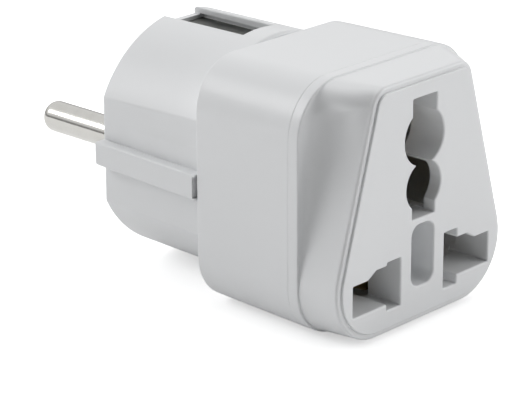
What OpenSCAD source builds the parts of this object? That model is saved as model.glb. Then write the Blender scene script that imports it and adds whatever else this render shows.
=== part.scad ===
// Travel plug adapter: a universal socket face on a rounded block, with a round two-pin earthed plug behind.
// The socket face looks along -Y, the plug pins point along +Y, and the block stands on its lowest edge at Z = 0.

/* [Block] */
// Width of the block at its parting line
block_w = 36.4; // [34:0.1:40]
// Height of the block at its parting line
block_h = 37.7; // [37:0.1:42]
// Corner radius of the block
block_r = 8; // [6:0.1:9]
// Length of the rear housing, from the plug side to the parting line
housing_l = 18.2; // [16:0.1:22]
// How far each side draws in towards the plug side
draft = 0.4; // [0.1:0.05:0.6]
// Wall of the rear housing
housing_wall = 1.9; // [1.5:0.1:2.3]
// Wall between the rear housing and the plug
rear_wall = 2.6; // [2:0.1:3.2]
// Straight band of the front cover beside the parting line
rim_l = 1.8; // [1.2:0.1:2.6]
// Depth of the lip that the front cover pushes into the housing
lip_l = 2.4; // [1.5:0.1:3.5]
// Wall of that lip
lip_wall = 1.2; // [0.8:0.1:1.6]

/* [Socket face] */
// How far the socket face stands in front of the band
boss_l = 7.4; // [6:0.1:9]
// From each side of the block in to the face's top corner
face_top_in = 8.2; // [7:0.1:9.5]
// From each side of the block in to the face's bottom corner
face_bottom_in = 1.1; // [1:0.05:1.8]
// From the top and the bottom of the block in to the face
face_end_in = 1.45; // [1:0.05:2]
// Radius of the face's top corners
face_top_r = 2; // [1.2:0.1:3]
// Radius of the face's bottom corners
face_bottom_r = 7.6; // [6.5:0.1:8.5]
// Margin from the face out to the flank of the boss
face_margin = 0.9; // [0.7:0.05:1]
// Height of the step round the face
face_step = 0.35; // [0.2:0.05:0.5]
// Radius on the edge of the boss
boss_edge_r = 0.45; // [0.3:0.05:0.6]
// Thickness of the face
face_t = 2; // [1.6:0.1:2.6]
// Wall of the boss
boss_wall = 1.5; // [1.2:0.1:2]
// How square the finger scoops are at their root, from a round cove to a sharp corner
scoop_sharpness = 0.55; // [0:0.05:0.7]
// Share of the scoop's flank that leans outwards
scoop_lean = 0.3; // [0.1:0.05:0.5]

/* [Line and neutral openings] */
// Height of the line and neutral openings above the bottom of the face
line_rise = 6.15; // [5.8:0.05:6.5]
// Inner end of each opening, from the middle
open_in = 4.8; // [4.6:0.05:5]
// From the face's bottom corner in to the outer end of each opening
open_margin = 2.25; // [1.9:0.05:2.7]
// Outer side of the flat-blade slot, from the middle
blade_out = 7.65; // [7.4:0.05:8]
// Top of each opening above its line
open_top = 2.25; // [2.1:0.05:2.6]
// Bottom of each opening below its line
open_bottom = 2.45; // [2.2:0.05:2.7]
// Top of the relief for slanted blades above the line
relief_top = 3.3; // [3:0.05:3.5]
// Outer end of the flat top of that relief, from the middle
relief_out = 9.95; // [9.6:0.05:10.4]
// Outer end of its slanted side, from the middle
relief_end = 11.7; // [11.4:0.05:12.2]
// Top of the left flat-blade slot above the line
left_blade_top = 3.8; // [3.6:0.05:4]
// Bottom of the left flat-blade slot below the line
left_blade_bottom = 3.4; // [3.2:0.05:3.6]
// Top of the taller right flat-blade slot above the line
right_blade_top = 4.75; // [4.4:0.05:5]
// Bottom of the taller right flat-blade slot below the line
right_blade_bottom = 3.8; // [3.5:0.05:4]
// Depth of the wells behind the line and neutral openings, from the face
well_l = 6; // [5:0.1:7]
// Wall of the wells
well_wall = 1.2; // [1:0.1:1.4]

/* [Earth openings] */
// Radius of the large earth hole
earth_r = 4.2; // [4:0.05:4.4]
// Length of the slot above the large hole, from the hole's middle
earth_slot_l = 6; // [5.6:0.05:6.2]
// Half width of that slot
earth_slot_x = 2.55; // [2.3:0.05:2.8]
// From the top of the face down to the slot
earth_margin = 2.2; // [1.9:0.05:2.6]
// Radius of the lower earth hole
lower_r = 3.7; // [3.5:0.05:3.8]
// Distance between the two earth holes
earth_pitch = 7.2; // [7:0.05:7.4]
// Half width of the square foot of the lower hole
foot_x = 2.4; // [2.2:0.05:2.6]
// Length of that foot, from the hole's middle
foot_l = 4.6; // [4.4:0.05:4.8]
// Half width of the blind slot
blind_x = 2.4; // [2.1:0.05:2.6]
// Web between the lower earth hole and the blind slot
blind_gap = 1; // [0.9:0.05:1.4]
// Height of the blind slot above the bottom of the face
blind_rise = 4.5; // [4.2:0.05:5.4]
// Corner radius of the blind slot
blind_r = 1.7; // [1.2:0.1:2]
// Depth of the blind slot, from the face
blind_l = 5.6; // [4.6:0.1:6]

/* [Plug] */
// Radius of the plug body beside the block
plug_r = 18.5; // [18:0.05:18.6]
// How much the radius draws in at the plug face
plug_draft = 0.26; // [0.1:0.01:0.6]
// Height of the plug body's middle above the pins
plug_rise = 0.4; // [0:0.05:0.5]
// From each side of the block in to the flat sides of the plug body
plug_flat_in = 1.85; // [1.6:0.05:2.2]
// Length of the plug body
plug_l = 20.8; // [20:0.1:22]
// Wall of the plug body and thickness of its end
plug_wall = 2.2; // [1.8:0.1:2.6]
// Radius on the edge of the plug face
plug_edge_r = 0.7; // [0.4:0.05:1]
// How far the guide ribs stay inside the block's sides
rib_in = 0.05; // [0:0.05:0.2]
// Height of the guide ribs beside the block
rib_h = 3.9; // [3.6:0.1:4.6]
// Height of the guide ribs at the plug face
rib_end_h = 3.6; // [3.2:0.1:3.8]
// How far the ribs' middle lies below the pins beside the block
rib_fall = 0.3; // [0:0.05:0.4]
// How far the ribs' middle lies above the pins at the plug face
rib_end_rise = 0.25; // [0:0.05:0.4]
// Length of the slot that parts each rib from the block
rib_slot_l = 0.5; // [0.3:0.05:0.8]
// Web above and below that slot
rib_slot_web = 0.3; // [0.2:0.05:0.6]
// Height of the low pad on the flat side above the rib, from the pins
pad_h = 5; // [4:0.1:6]
// Length of that pad from the block
pad_l = 14; // [10:0.5:18]
// Thickness of that pad
pad_t = 0.12; // [0.08:0.01:0.2]
// Half width of the earth channels
channel_x = 3.3; // [3:0.05:3.6]
// Thickness of the plug's skin over the strap, in the middle of a channel
skin_t = 1.5; // [1.2:0.05:1.8]
// Full shoulder between the block and the end of the channels
shoulder_l = 4.3; // [3.6:0.1:5]
// Wall of the tubes that hold the pins, the earth socket and the screw
tube_wall = 1.6; // [1.2:0.1:1.8]

/* [Pins and earth parts] */
// Diameter of the plug pins
pin_d = 4.8; // [4.8:0.01:4.82]
// Length of the plug pins outside the plug face
pin_l = 19; // [18.6:0.1:19.4]
// Distance between the plug pins
pin_pitch = 19; // [18.8:0.1:19.2]
// Rounding at the tip of a plug pin
pin_tip_r = 1.7; // [1:0.1:2.2]
// Undercut between the plug face and the full thickness of a pin
pin_undercut = 0.2; // [0.1:0.05:0.4]
// Depth of the counterbore round a pin in the plug face
pin_recess = 0.5; // [0.3:0.05:1]
// Diameter of a pin inside the plug body
pin_body_d = 4.4; // [4:0.1:4.6]
// Diameter of the shanks that are riveted through the block
shank_d = 3.6; // [3.2:0.1:3.8]
// Diameter of a riveted head
rivet_d = 5; // [4.6:0.1:5.4]
// Height of a riveted head
rivet_h = 0.7; // [0.5:0.05:0.9]
// Thickness of the earth strap
strap_t = 0.8; // [0.6:0.05:0.9]
// Width of the earth strap
strap_w = 7.8; // [7.2:0.1:8.2]
// Outer radius of the strap's bends
strap_bend_r = 1.4; // [1.2:0.1:2]
// From the rim of the plug body in to the strap's legs
strap_in = 2.25; // [2:0.05:2.6]
// From the rim of the plug body in to the middle of the earth socket
sleeve_in = 8.5; // [8.2:0.05:8.8]
// Bore of the earth socket
sleeve_bore = 4.9; // [4.9:0.01:5]
// Wall of the earth socket
sleeve_wall = 0.65; // [0.5:0.05:0.8]
// Depth from the plug face to the mouth of the earth socket
sleeve_set = 2.2; // [1.8:0.1:2.6]
// Thickness of the earth socket's floor
sleeve_floor = 1.6; // [1:0.1:2.4]
// Length of the earth socket's spring slits
slit_l = 9; // [6:0.5:11]
// Width of those slits
slit_w = 0.7; // [0.5:0.05:1]

/* [Contacts] */
// Thickness of the contact carrier
carrier_t = 3; // [2.4:0.1:3.4]
// Height of the carrier's ribs beside the earth contact
carrier_rib_l = 6; // [4:0.5:9]
// Thickness of those ribs
carrier_rib_t = 0.5; // [0.4:0.05:0.8]
// Thickness of the stamped contacts
strip_t = 0.6; // [0.5:0.05:0.8]
// Gap between the wells and the tips of the spring leaves
leaf_gap = 0.6; // [0.4:0.05:1]
// Length of the flared mouth of the leaves
leaf_mouth_l = 4.5; // [3:0.1:6]
// How far the leaves flare at their mouth
leaf_flare = 1.2; // [0.8:0.05:1.6]
// Length of the taper behind the grip of the leaves
leaf_taper_l = 3; // [2:0.1:4]
// Half height of the line and neutral contacts
line_half = 3.6; // [3.2:0.05:3.9]
// From the inner side of each line opening to the contact's base
line_base_in = 0.1; // [0.05:0.05:0.6]
// Gap between the contacts and the housing's side walls
line_gap = 3.6; // [3.5:0.05:4]
// Inner edge of the leaves for round and rectangular pins, from the middle
leaf_in = 8.8; // [8.6:0.05:9.2]
// Half gap between those leaves at their root
leaf_root = 3; // [2.6:0.05:3]
// Half gap between those leaves at their grip
leaf_grip = 1.8; // [1.6:0.05:2.2]
// Middle of the leaves for flat blades, from the middle
blade_x = 6.3; // [6.2:0.05:6.4]
// Half height of those leaves
blade_half = 3; // [2.4:0.05:3.2]
// Half gap between them at their root
blade_root = 0.75; // [0.6:0.05:1]
// Half gap between them at their grip
blade_grip = 0.5; // [0.4:0.05:0.8]
// Half width of the tails that reach the plug pins
tail_half = 3; // [2.6:0.1:3.2]
// Half width of the earth contact
earth_half = 3.8; // [3.6:0.05:4]
// From the clamp screw up to the earth contact
earth_rise = 4.8; // [4.4:0.05:5.4]
// Gap between the earth contact and the housing's top wall
earth_gap = 1.15; // [0.8:0.05:1.6]
// Half gap between the earth leaves at their grip
earth_grip = 1.9; // [1.6:0.05:2.3]
// Gap between the lower and the upper pair of earth leaves
earth_split = 1.8; // [1:0.1:2.4]
// Margin from the ends of the earth contact to its leaves
earth_end = 0.6; // [0.3:0.05:1]

/* [Clamp screw] */
// Height of the clamp screw below the plug pins
screw_drop = 8.2; // [8:0.05:8.6]
// Diameter of the screw
screw_d = 3; // [2.8:0.1:3.2]
// Length of the screw under its head
screw_l = 18; // [16:0.5:20]
// Diameter of the screw head
head_d = 5.6; // [5.2:0.1:5.8]
// Height of the screw head
head_h = 2; // [1.8:0.1:2.4]
// Web of the plug body under the screw head
screw_web = 4; // [3:0.1:5]
// Length and width of the cross recess
cross_l = 3.2; // [2.6:0.1:3.6]
cross_w = 0.9; // [0.7:0.05:1.1]

/* [Hidden] */
$fn = 64;
// Clearance between pieces that are pushed together
fit = 0.05;
// A little more than a wall, so that cuts leave no skin
over = 1;
// Points along each straight stretch, each corner and each long side of an outline
n_flat = 4;
n_arc = 9;
n_side = 9;
// Rings along the finger scoops and round an edge
n_scoop = 11;
n_edge = 3;

// Depths along Y, measured from the plane where the plug meets the block
parting_y = -housing_l;
rim_y = parting_y - rim_l;
face_y = rim_y - boss_l;
shelf_y = face_y + face_step;
carrier_y = -rear_wall - carrier_t;
well_y = face_y + well_l;
total_l = -face_y + plug_l + pin_l;

// The face's size and the heights of its openings, from the plug's axis
face_top_half = block_w/2 - face_top_in;
face_bottom_half = block_w/2 - face_bottom_in;
face_half_h = block_h/2 - face_end_in;
line_z = line_rise - face_half_h;
open_out = face_bottom_half - open_margin;
earth_slot_top = face_half_h - earth_margin;
earth_z = earth_slot_top - earth_slot_l;
lower_z = earth_z - earth_pitch;
foot_z = lower_z - foot_l;
blind_top = foot_z - blind_gap;
blind_bottom = blind_rise - face_half_h;
blind_h = blind_top - blind_bottom;
blind_end_r = min(blind_r, blind_h/2 - fit);

// Half width across the plug's flat sides, and places from its rim
plug_flat = block_w/2 - plug_flat_in;
strap_z = plug_r - strap_in;
sleeve_z = plug_r - sleeve_in;
skin_z = plug_r - skin_t;
half_pitch = pin_pitch/2;

// The pieces are drawn round the plug's axis, then stood on the block
module in_place() translate([0, total_l/2 - plug_l - pin_l, block_h/2]) children();

// A flat outline in X and Z, pushed from one depth to another
module slab(from_y, to_y) translate([0, max(from_y, to_y), 0]) rotate([90, 0, 0])
    linear_extrude(abs(to_y - from_y)) children();

// A profile in Y and Z, pushed from one X to another
module strip_across(from_x, to_x) translate([from_x, 0, 0]) rotate([90, 0, 90])
    linear_extrude(to_x - from_x) children();

// A round rod or hole along Y
module rod(d, from_y, to_y, x = 0, z = 0) translate([x, max(from_y, to_y), z]) rotate([90, 0, 0])
    cylinder(d = d, h = abs(to_y - from_y));

// A round piece along Y, turned from a profile of radius and depth
module turned(x = 0, z = 0) translate([x, 0, z]) rotate([-90, 0, 0]) rotate_extrude() children();

module rounded_rect(w, h, r) {
    translate([r - w/2, -h/2]) square([w - 2*r, h]);
    translate([-w/2, r - h/2]) square([w, h - 2*r]);
    for (x = [r - w/2, w/2 - r], z = [r - h/2, h/2 - r]) translate([x, z]) circle(r);
}

// Lean of the straight edge that touches a top and a bottom corner circle
function edge_lean(top, top_r, low, low_r) =
    atan((top[0] - low[0])/(top[1] - low[1])) + asin((low_r - top_r)/norm(low - top));

// Left half of an outline with two corner circles, from the top middle to the bottom middle
function half_outline(top, top_r, low, low_r) =
    let (a = 180 - edge_lean(top, top_r, low, low_r),
         dir = [cos(a), sin(a)],
         p = top + top_r*dir,
         q = low + low_r*dir)
    concat(
        [for (i = [0:n_flat - 1]) [top[0]*i/n_flat, top[1] + top_r]],
        [for (i = [0:n_arc]) let (b = 90 + (a - 90)*i/n_arc) top + top_r*[cos(b), sin(b)]],
        [for (i = [1:n_side - 1]) p + (q - p)*i/n_side],
        [for (i = [0:n_arc]) let (b = a + (270 - a)*i/n_arc) low + low_r*[cos(b), sin(b)]],
        [for (i = [1:n_flat]) [low[0]*(1 - i/n_flat), low[1] - low_r]]);

// A whole outline from its left half
function whole(half) = concat(half, [for (i = [len(half) - 2:-1:1]) [-half[i][0], half[i][1]]]);

// The block's outline, drawn in by an inset
function block_half(inset) = let (c = [block_r - block_w/2, block_h/2 - block_r])
    half_outline(c, block_r - inset, [c[0], -c[1]], block_r - inset);

// The face's outline, grown outwards by a margin
function face_half(grow) = half_outline(
    [face_top_r - face_top_half, face_half_h - face_top_r], face_top_r + grow,
    [face_bottom_r - face_bottom_half, face_bottom_r - face_half_h], face_bottom_r + grow);

// Share of the finger scoop at each point of the half outline: none along the top, all down the side
function ease(t) = let (u = min(1, max(0, t))) u*u*(3 - 2*u);
function scoop_share(i) = i < n_flat + n_arc
    ? ease(1.5*(i - n_flat)/n_arc)
    : 1 - ease((i - n_flat - n_arc - n_side)/n_arc);

// One ring of the boss between the band and the edge of the boss, for an angle from 0 to 90
function boss_half(a) =
    let (power = 1 - scoop_sharpness,
         out = 1 - pow(cos(a), power),
         cove = (1 - scoop_lean)*pow(sin(a), power) + scoop_lean*out,
         foot = block_half(boss_edge_r/2),
         edge = face_half(face_margin),
         y = rim_y - out*(rim_y - shelf_y - boss_edge_r))
    [for (i = [0:len(foot) - 1])
        let (s = scoop_share(i), g = s*cove + (1 - s)*out, p = foot[i]*(1 - g) + edge[i]*g)
        [p[0], y, p[1]]];

// A closed solid through rings that share their number of points, from the plug side to the front
module loft(rings) {
    n = len(rings[0]);
    last = len(rings) - 1;
    back_middle = (last + 1)*n;
    front_middle = back_middle + 1;
    polyhedron(
        points = concat([for (ring = rings) each ring], [[0, rings[0][0][1], 0], [0, rings[last][0][1], 0]]),
        faces = concat(
            [for (i = [0:n - 1]) [i, (i + 1)%n, back_middle]],
            [for (k = [0:last - 1], i = [0:n - 1]) [k*n + i, (k + 1)*n + i, (k + 1)*n + (i + 1)%n]],
            [for (k = [0:last - 1], i = [0:n - 1]) [k*n + i, (k + 1)*n + (i + 1)%n, k*n + (i + 1)%n]],
            [for (i = [0:n - 1]) [last*n + (i + 1)%n, last*n + i, front_middle]]));
}

// A ring at one depth from a half outline in X and Z
function ring(half, y) = [for (p = whole(half)) [p[0], y, p[1]]];
// A ring from a half outline that already has its depths
function deep_ring(half) = concat(half, [for (i = [len(half) - 2:-1:1]) [-half[i][0], half[i][1], half[i][2]]]);

module outline(half) polygon(whole(half));

// Openings of the socket face, as flat outlines
module line_opening(blade_top, blade_bottom) translate([0, line_z]) {
    translate([open_in, -open_bottom]) square([open_out - open_in, open_top + open_bottom]);
    translate([open_in, -blade_bottom]) square([blade_out - open_in, blade_top + blade_bottom]);
    polygon([[open_in, 0], [open_in, relief_top], [relief_out, relief_top], [relief_end, open_top], [relief_end, 0]]);
}
module left_opening() mirror([1, 0]) line_opening(left_blade_top, left_blade_bottom);
module right_opening() line_opening(right_blade_top, right_blade_bottom);
module large_earth_opening() {
    translate([0, earth_z]) circle(earth_r);
    translate([-earth_slot_x, earth_z]) square([2*earth_slot_x, earth_slot_top - earth_z]);
}
module lower_earth_opening() {
    translate([0, lower_z]) circle(lower_r);
    translate([-foot_x, foot_z]) square([2*foot_x, foot_l]);
}
module blind_outline() translate([0, (blind_top + blind_bottom)/2]) rounded_rect(2*blind_x, blind_h, blind_end_r);

// Outlines of the wells' outer walls
module line_wall(blade_top, blade_bottom) translate([open_in - well_wall, line_z - blade_bottom - well_wall])
    square([open_out - open_in + 2*well_wall, blade_top + blade_bottom + 2*well_wall]);
module earth_wall() {
    translate([0, earth_z]) circle(earth_r + well_wall);
    translate([-earth_slot_x - well_wall, earth_z])
        square([2*(earth_slot_x + well_wall), earth_slot_top - earth_z + well_wall]);
}

// Front moulding: band, boss with its finger scoops, face with all openings, wells and screw post
module front_cover() color("whitesmoke") in_place() {
    post_d = screw_d + 2*boss_wall;
    difference() {
        union() {
            difference() {
                loft(concat(
                    [ring(block_half(0), parting_y), ring(block_half(0), rim_y + boss_edge_r/2)],
                    [for (k = [0:n_scoop]) deep_ring(boss_half(90*k/n_scoop))],
                    [for (k = [1:n_edge]) let (b = 90*k/n_edge)
                        ring(face_half(face_margin - boss_edge_r*(1 - cos(b))),
                             shelf_y + boss_edge_r*(1 - sin(b)))],
                    [ring(face_half(0), shelf_y), ring(face_half(0), face_y + face_step/4),
                     ring(face_half(-face_step/4), face_y)]));
                slab(face_y + face_t, parting_y + over) outline(face_half(-boss_wall));
            }
            slab(well_y, face_y + face_t/2) intersection() {
                outline(face_half(-boss_wall/2));
                union() {
                    mirror([1, 0]) line_wall(left_blade_top, left_blade_bottom);
                    line_wall(right_blade_top, right_blade_bottom);
                    earth_wall();
                    translate([0, (blind_top + blind_bottom)/2])
                        square([2*(blind_x + well_wall), blind_h + 2*well_wall], center = true);
                }
            }
            rod(post_d, face_y + blind_l, carrier_y, z = -screw_drop);
            slab(parting_y - over, parting_y + lip_l) difference() {
                rounded_rect(block_w - 2*(housing_wall + fit), block_h - 2*(housing_wall + fit),
                             block_r - housing_wall - fit);
                rounded_rect(block_w - 2*(housing_wall + fit + lip_wall), block_h - 2*(housing_wall + fit + lip_wall),
                             block_r - housing_wall - fit - lip_wall);
            }
        }
        slab(face_y - over, well_y + over) {
            left_opening();
            right_opening();
            large_earth_opening();
            lower_earth_opening();
        }
        slab(face_y - over, face_y + blind_l) blind_outline();
        rod(screw_d + 2*fit, carrier_y + over, screw_web - screw_l - over, z = -screw_drop);
    }
}

// Rear moulding of the block: a drafted box, open at the front
module rear_housing() color("whitesmoke") in_place() difference() {
    loft(concat(
        [for (k = [0:n_edge]) let (b = 90*k/n_edge)
            ring(block_half(draft + boss_edge_r*(1 - sin(b))), -boss_edge_r*(1 - cos(b)))],
        [ring(block_half(0), parting_y)]));
    slab(parting_y - over, -rear_wall)
        rounded_rect(block_w - 2*housing_wall, block_h - 2*housing_wall, block_r - housing_wall);
    for (side = [-1, 1]) rod(shank_d + 2*fit, -rear_wall - over, over, x = side*half_pitch);
    rod(shank_d + 2*fit, -rear_wall - over, over, z = sleeve_z);
    rod(screw_d + 2*fit, -rear_wall - over, over, z = -screw_drop);
}

// What is centred on the plug body lies a little above the pins
module at_body() translate([0, 0, plug_rise]) children();

// Outer form of the plug body: a drafted round with two flat sides
module plug_form() at_body() intersection() {
    turned() polygon(concat(
        [[0, 0], [plug_r, 0]],
        [for (k = [0:4]) let (b = 90*k/4)
            [plug_r - plug_draft - plug_edge_r*(1 - cos(b)), plug_l - plug_edge_r*(1 - sin(b))]],
        [[0, plug_l]]));
    translate([0, 0, -plug_r]) linear_extrude(2*plug_r) {
        translate([-plug_flat, 0]) square([2*plug_flat, plug_l - plug_edge_r]);
        translate([plug_edge_r - plug_flat, 0]) square([2*(plug_flat - plug_edge_r), plug_l]);
        for (side = [-1, 1]) translate([side*(plug_flat - plug_edge_r), plug_l - plug_edge_r]) circle(plug_edge_r);
    }
}

// Guide rib on one flat side, tapering towards the plug face, with a slot beside the block and a low pad above
module guide_rib() {
    low = -rib_fall - rib_h/2;
    high = low + rib_h;
    end_low = rib_end_rise - rib_end_h/2;
    end_high = end_low + rib_end_h;
    chamfer = plug_edge_r/2;
    difference() {
        strip_across(plug_flat - plug_wall, block_w/2 - rib_in)
            polygon([[0, low], [plug_l - chamfer, end_low], [plug_l, end_low + chamfer],
                     [plug_l, end_high - chamfer], [plug_l - chamfer, end_high], [0, high]]);
        strip_across(plug_flat, block_w/2)
            translate([-over, low + rib_slot_web]) square([over + rib_slot_l, rib_h - 2*rib_slot_web]);
    }
    strip_across(plug_flat - plug_wall/2, plug_flat + pad_t) square([pad_l, pad_h]);
}

// Plug moulding: body, guide ribs, earth channels and the tubes that hold the pins
module plug_base() color("whitesmoke") in_place() {
    strap_stop = plug_l - plug_wall/2;
    difference() {
        union() {
            difference() {
                plug_form();
                at_body() slab(-over, plug_l - plug_wall) difference() {
                    intersection() {
                        circle(plug_r - plug_draft - plug_wall);
                        square([2*(plug_flat - plug_wall), 2*plug_r], center = true);
                    }
                    for (up = [-1, 1]) translate([-strap_w/2 - plug_wall, up > 0 ? strap_z - strap_t - plug_wall : -plug_r])
                        square([strap_w + 2*plug_wall, plug_r - strap_z + strap_t + plug_wall]);
                }
            }
            intersection() {
                plug_form();
                union() {
                    for (side = [-1, 1]) rod(pin_body_d + 2*tube_wall, 0, plug_l - over, x = side*half_pitch);
                    rod(sleeve_bore + 2*(sleeve_wall + tube_wall), 0, plug_l - over, z = sleeve_z);
                    rod(head_d + 2*tube_wall, 0, plug_l - over, z = -screw_drop);
                }
            }
            guide_rib();
            mirror([1, 0, 0]) guide_rib();
        }
        for (side = [-1, 1]) {
            rod(pin_body_d + 2*fit, -over, plug_l + over, x = side*half_pitch);
            rod(pin_d + 2*fit, plug_l - pin_recess, plug_l + over, x = side*half_pitch);
        }
        rod(sleeve_bore + 2*(sleeve_wall + fit), -over, plug_l - sleeve_set, z = sleeve_z);
        rod(sleeve_bore + sleeve_wall, plug_l - sleeve_set - over, plug_l + over, z = sleeve_z);
        rod(screw_d + 2*fit, -over, plug_l, z = -screw_drop);
        rod(head_d + 4*fit, screw_web, plug_l + over, z = -screw_drop);
        for (flip = [0, 1]) at_body() mirror([0, 0, flip]) {
            translate([-channel_x, shoulder_l, strap_z]) cube([2*channel_x, strap_stop - shoulder_l, plug_r]);
            translate([-channel_x, shoulder_l, skin_z]) cube([2*channel_x, plug_l, plug_r]);
            translate([-strap_w/2 - fit, shoulder_l, strap_z])
                cube([strap_w + 2*fit, strap_stop - shoulder_l, skin_z - strap_z]);
            translate([-strap_w/2 - fit, -over, strap_z - strap_t - fit])
                cube([strap_w + 2*fit, strap_stop + over, strap_t + 2*fit]);
            translate([-strap_w/2 - fit, -over, strap_z - strap_bend_r - fit])
                cube([strap_w + 2*fit, over + strap_bend_r + 2*fit, strap_bend_r]);
        }
        at_body() translate([-strap_w/2 - fit, -over, -strap_z])
            cube([strap_w + 2*fit, strap_t + 2*fit + over, 2*strap_z]);
    }
}

// Insulating plate on the housing's rear wall, with a window for the earth contact and ribs beside it
module contact_carrier() color("gainsboro") in_place() {
    window_x = earth_half + 2*fit;
    difference() {
        union() {
            slab(carrier_y, -rear_wall) rounded_rect(block_w - 2*(housing_wall + 2*fit),
                block_h - 2*(housing_wall + 2*fit), block_r - housing_wall - 2*fit);
            for (side = [0, 1]) slab(carrier_y - carrier_rib_l, carrier_y) mirror([side, 0])
                translate([window_x, earth_low]) square([carrier_rib_t, earth_high - earth_low]);
        }
        slab(carrier_y - over, -rear_wall + over)
            translate([-window_x, earth_low - 2*fit]) square([2*window_x, earth_high - earth_low + 4*fit]);
        for (side = [-1, 1]) rod(shank_d + 2*fit, carrier_y - over, over, x = side*half_pitch);
        rod(screw_d + 2*fit, carrier_y - over, over, z = -screw_drop);
    }
}

// Places of the stamped contacts
leaf_tip_y = well_y + leaf_gap;
leaf_grip_y = leaf_tip_y + leaf_mouth_l;
leaf_back_y = leaf_grip_y + leaf_taper_l;
line_out = block_w/2 - housing_wall - line_gap;
earth_low = earth_rise - screw_drop;
earth_high = block_h/2 - housing_wall - earth_gap;
earth_mid = (earth_z + lower_z)/2;

// One spring leaf in section: from its root to the grip, then flaring at the mouth
function leaf(root_y, root, grip) = [
    [root_y, root], [leaf_back_y, grip + leaf_flare/2], [leaf_grip_y, grip], [leaf_tip_y, grip + leaf_flare],
    [leaf_tip_y, grip + leaf_flare + strip_t], [leaf_grip_y, grip + strip_t],
    [leaf_back_y, grip + leaf_flare/2 + strip_t], [root_y, root + strip_t]];

// Contact for the line or neutral opening, on the right-hand side: base, tail to the pin, and spring leaves
module line_contact() {
    root_y = carrier_y - strip_t/2;
    base_x = open_in + line_base_in;
    difference() {
        slab(carrier_y - strip_t, carrier_y) {
            translate([base_x, line_z - line_half]) square([line_out - base_x, 2*line_half]);
            translate([half_pitch - tail_half, line_z]) square([2*tail_half, -line_z]);
            translate([half_pitch, 0]) circle(tail_half);
        }
        rod(shank_d + 2*fit, carrier_y - over, carrier_y + over, x = half_pitch);
    }
    for (low = [0, 1]) translate([0, 0, line_z]) mirror([0, 0, low])
        strip_across(leaf_in, line_out) polygon(leaf(root_y, leaf_root, leaf_grip));
    for (side = [-1, 1]) translate([blade_x, 0, line_z - blade_half]) linear_extrude(2*blade_half)
        polygon([for (p = leaf(root_y, blade_root, blade_grip)) [side*p[1], p[0]]]);
}
module live_contact() color("darkgoldenrod") in_place() mirror([1, 0, 0]) line_contact();
module neutral_contact() color("darkgoldenrod") in_place() line_contact();

// Contact for the earth openings: base in the carrier's window, a lower and an upper pair of leaves
module earth_contact() color("goldenrod") in_place() {
    root_y = -rear_wall - strip_t/2;
    lower_leaf = [earth_low + earth_end, earth_mid - earth_split/2];
    upper_leaf = [earth_mid + earth_split/2, earth_high - earth_end];
    difference() {
        slab(-rear_wall - strip_t, -rear_wall) translate([-earth_half, earth_low])
            square([2*earth_half, earth_high - earth_low]);
        rod(shank_d + 2*fit, -rear_wall - over, over, z = sleeve_z);
    }
    for (stretch = [lower_leaf, upper_leaf], side = [-1, 1])
        translate([0, 0, stretch[0]]) linear_extrude(stretch[1] - stretch[0])
            polygon([for (p = leaf(root_y, earth_half - strip_t, earth_grip)) [side*p[1], p[0]]]);
}

// Plug pin: solid round pin with a domed tip, thinner in the plug body, shouldered on the block and riveted
module plug_pin(x) color("lightgray") in_place() turned(x) {
    tip_y = plug_l + pin_l;
    rivet_y = carrier_y - strip_t;
    difference() {
        union() {
            square([pin_body_d/2, tip_y - pin_tip_r]);
            translate([0, plug_l + pin_undercut]) square([pin_d/2, pin_l - pin_undercut - pin_tip_r]);
            translate([0, tip_y - pin_tip_r]) square([pin_d/2 - pin_tip_r, pin_tip_r]);
            translate([pin_d/2 - pin_tip_r, tip_y - pin_tip_r]) circle(pin_tip_r);
            translate([0, rivet_y]) square([shank_d/2, -rivet_y]);
            translate([0, rivet_y - rivet_h]) square([rivet_d/2 - rivet_h/2, rivet_h]);
            translate([rivet_d/2 - rivet_h/2, rivet_y - rivet_h/2]) circle(rivet_h/2);
        }
        translate([-pin_d, rivet_y - pin_d]) square([pin_d, tip_y + 3*pin_d]);
    }
}
module live_pin() plug_pin(-half_pitch);
module neutral_pin() plug_pin(half_pitch);

// Earth strap: one strip bent into a U, its legs lying in the plug's two channels
module earth_strap() color("silver") in_place() difference() {
    bend_r = strap_bend_r;
    leg_y = plug_l - plug_wall/2 - 2*fit;
    at_body() strip_across(-strap_w/2, strap_w/2) difference() {
        union() {
            translate([fit, bend_r - strap_z]) square([leg_y, 2*(strap_z - bend_r)]);
            translate([fit + bend_r, -strap_z]) square([leg_y - bend_r, 2*strap_z]);
            for (up = [-1, 1]) translate([fit + bend_r, up*(strap_z - bend_r)]) circle(bend_r);
        }
        translate([fit + bend_r, strap_t - strap_z]) square([leg_y + over, 2*(strap_z - strap_t)]);
        translate([fit + strap_t, bend_r - strap_z]) square([leg_y, 2*(strap_z - bend_r)]);
        for (up = [-1, 1]) translate([fit + bend_r, up*(strap_z - bend_r)]) circle(bend_r - strap_t);
    }
    rod(shank_d + 2*fit, -over, bend_r + over, z = sleeve_z);
    rod(screw_d + 2*fit, -over, bend_r + over, z = -screw_drop);
}

// Earth socket: a turned tube with two spring slits, riveted through strap, housing and earth contact
module earth_sleeve() color("silver") in_place() {
    seat_y = strap_t + 2*fit;
    mouth_y = plug_l - sleeve_set;
    rivet_y = -rear_wall - strip_t;
    outer_r = sleeve_bore/2 + sleeve_wall;
    difference() {
        turned(z = sleeve_z) {
            translate([0, seat_y]) square([outer_r, sleeve_floor]);
            translate([sleeve_bore/2, seat_y]) square([sleeve_wall, mouth_y - seat_y]);
            translate([0, rivet_y]) square([shank_d/2, seat_y - rivet_y]);
            translate([0, rivet_y - rivet_h]) square([rivet_d/2, rivet_h]);
        }
        translate([-outer_r - over, mouth_y - slit_l, sleeve_z - slit_w/2])
            cube([2*(outer_r + over), slit_l + over, slit_w]);
    }
}

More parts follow.
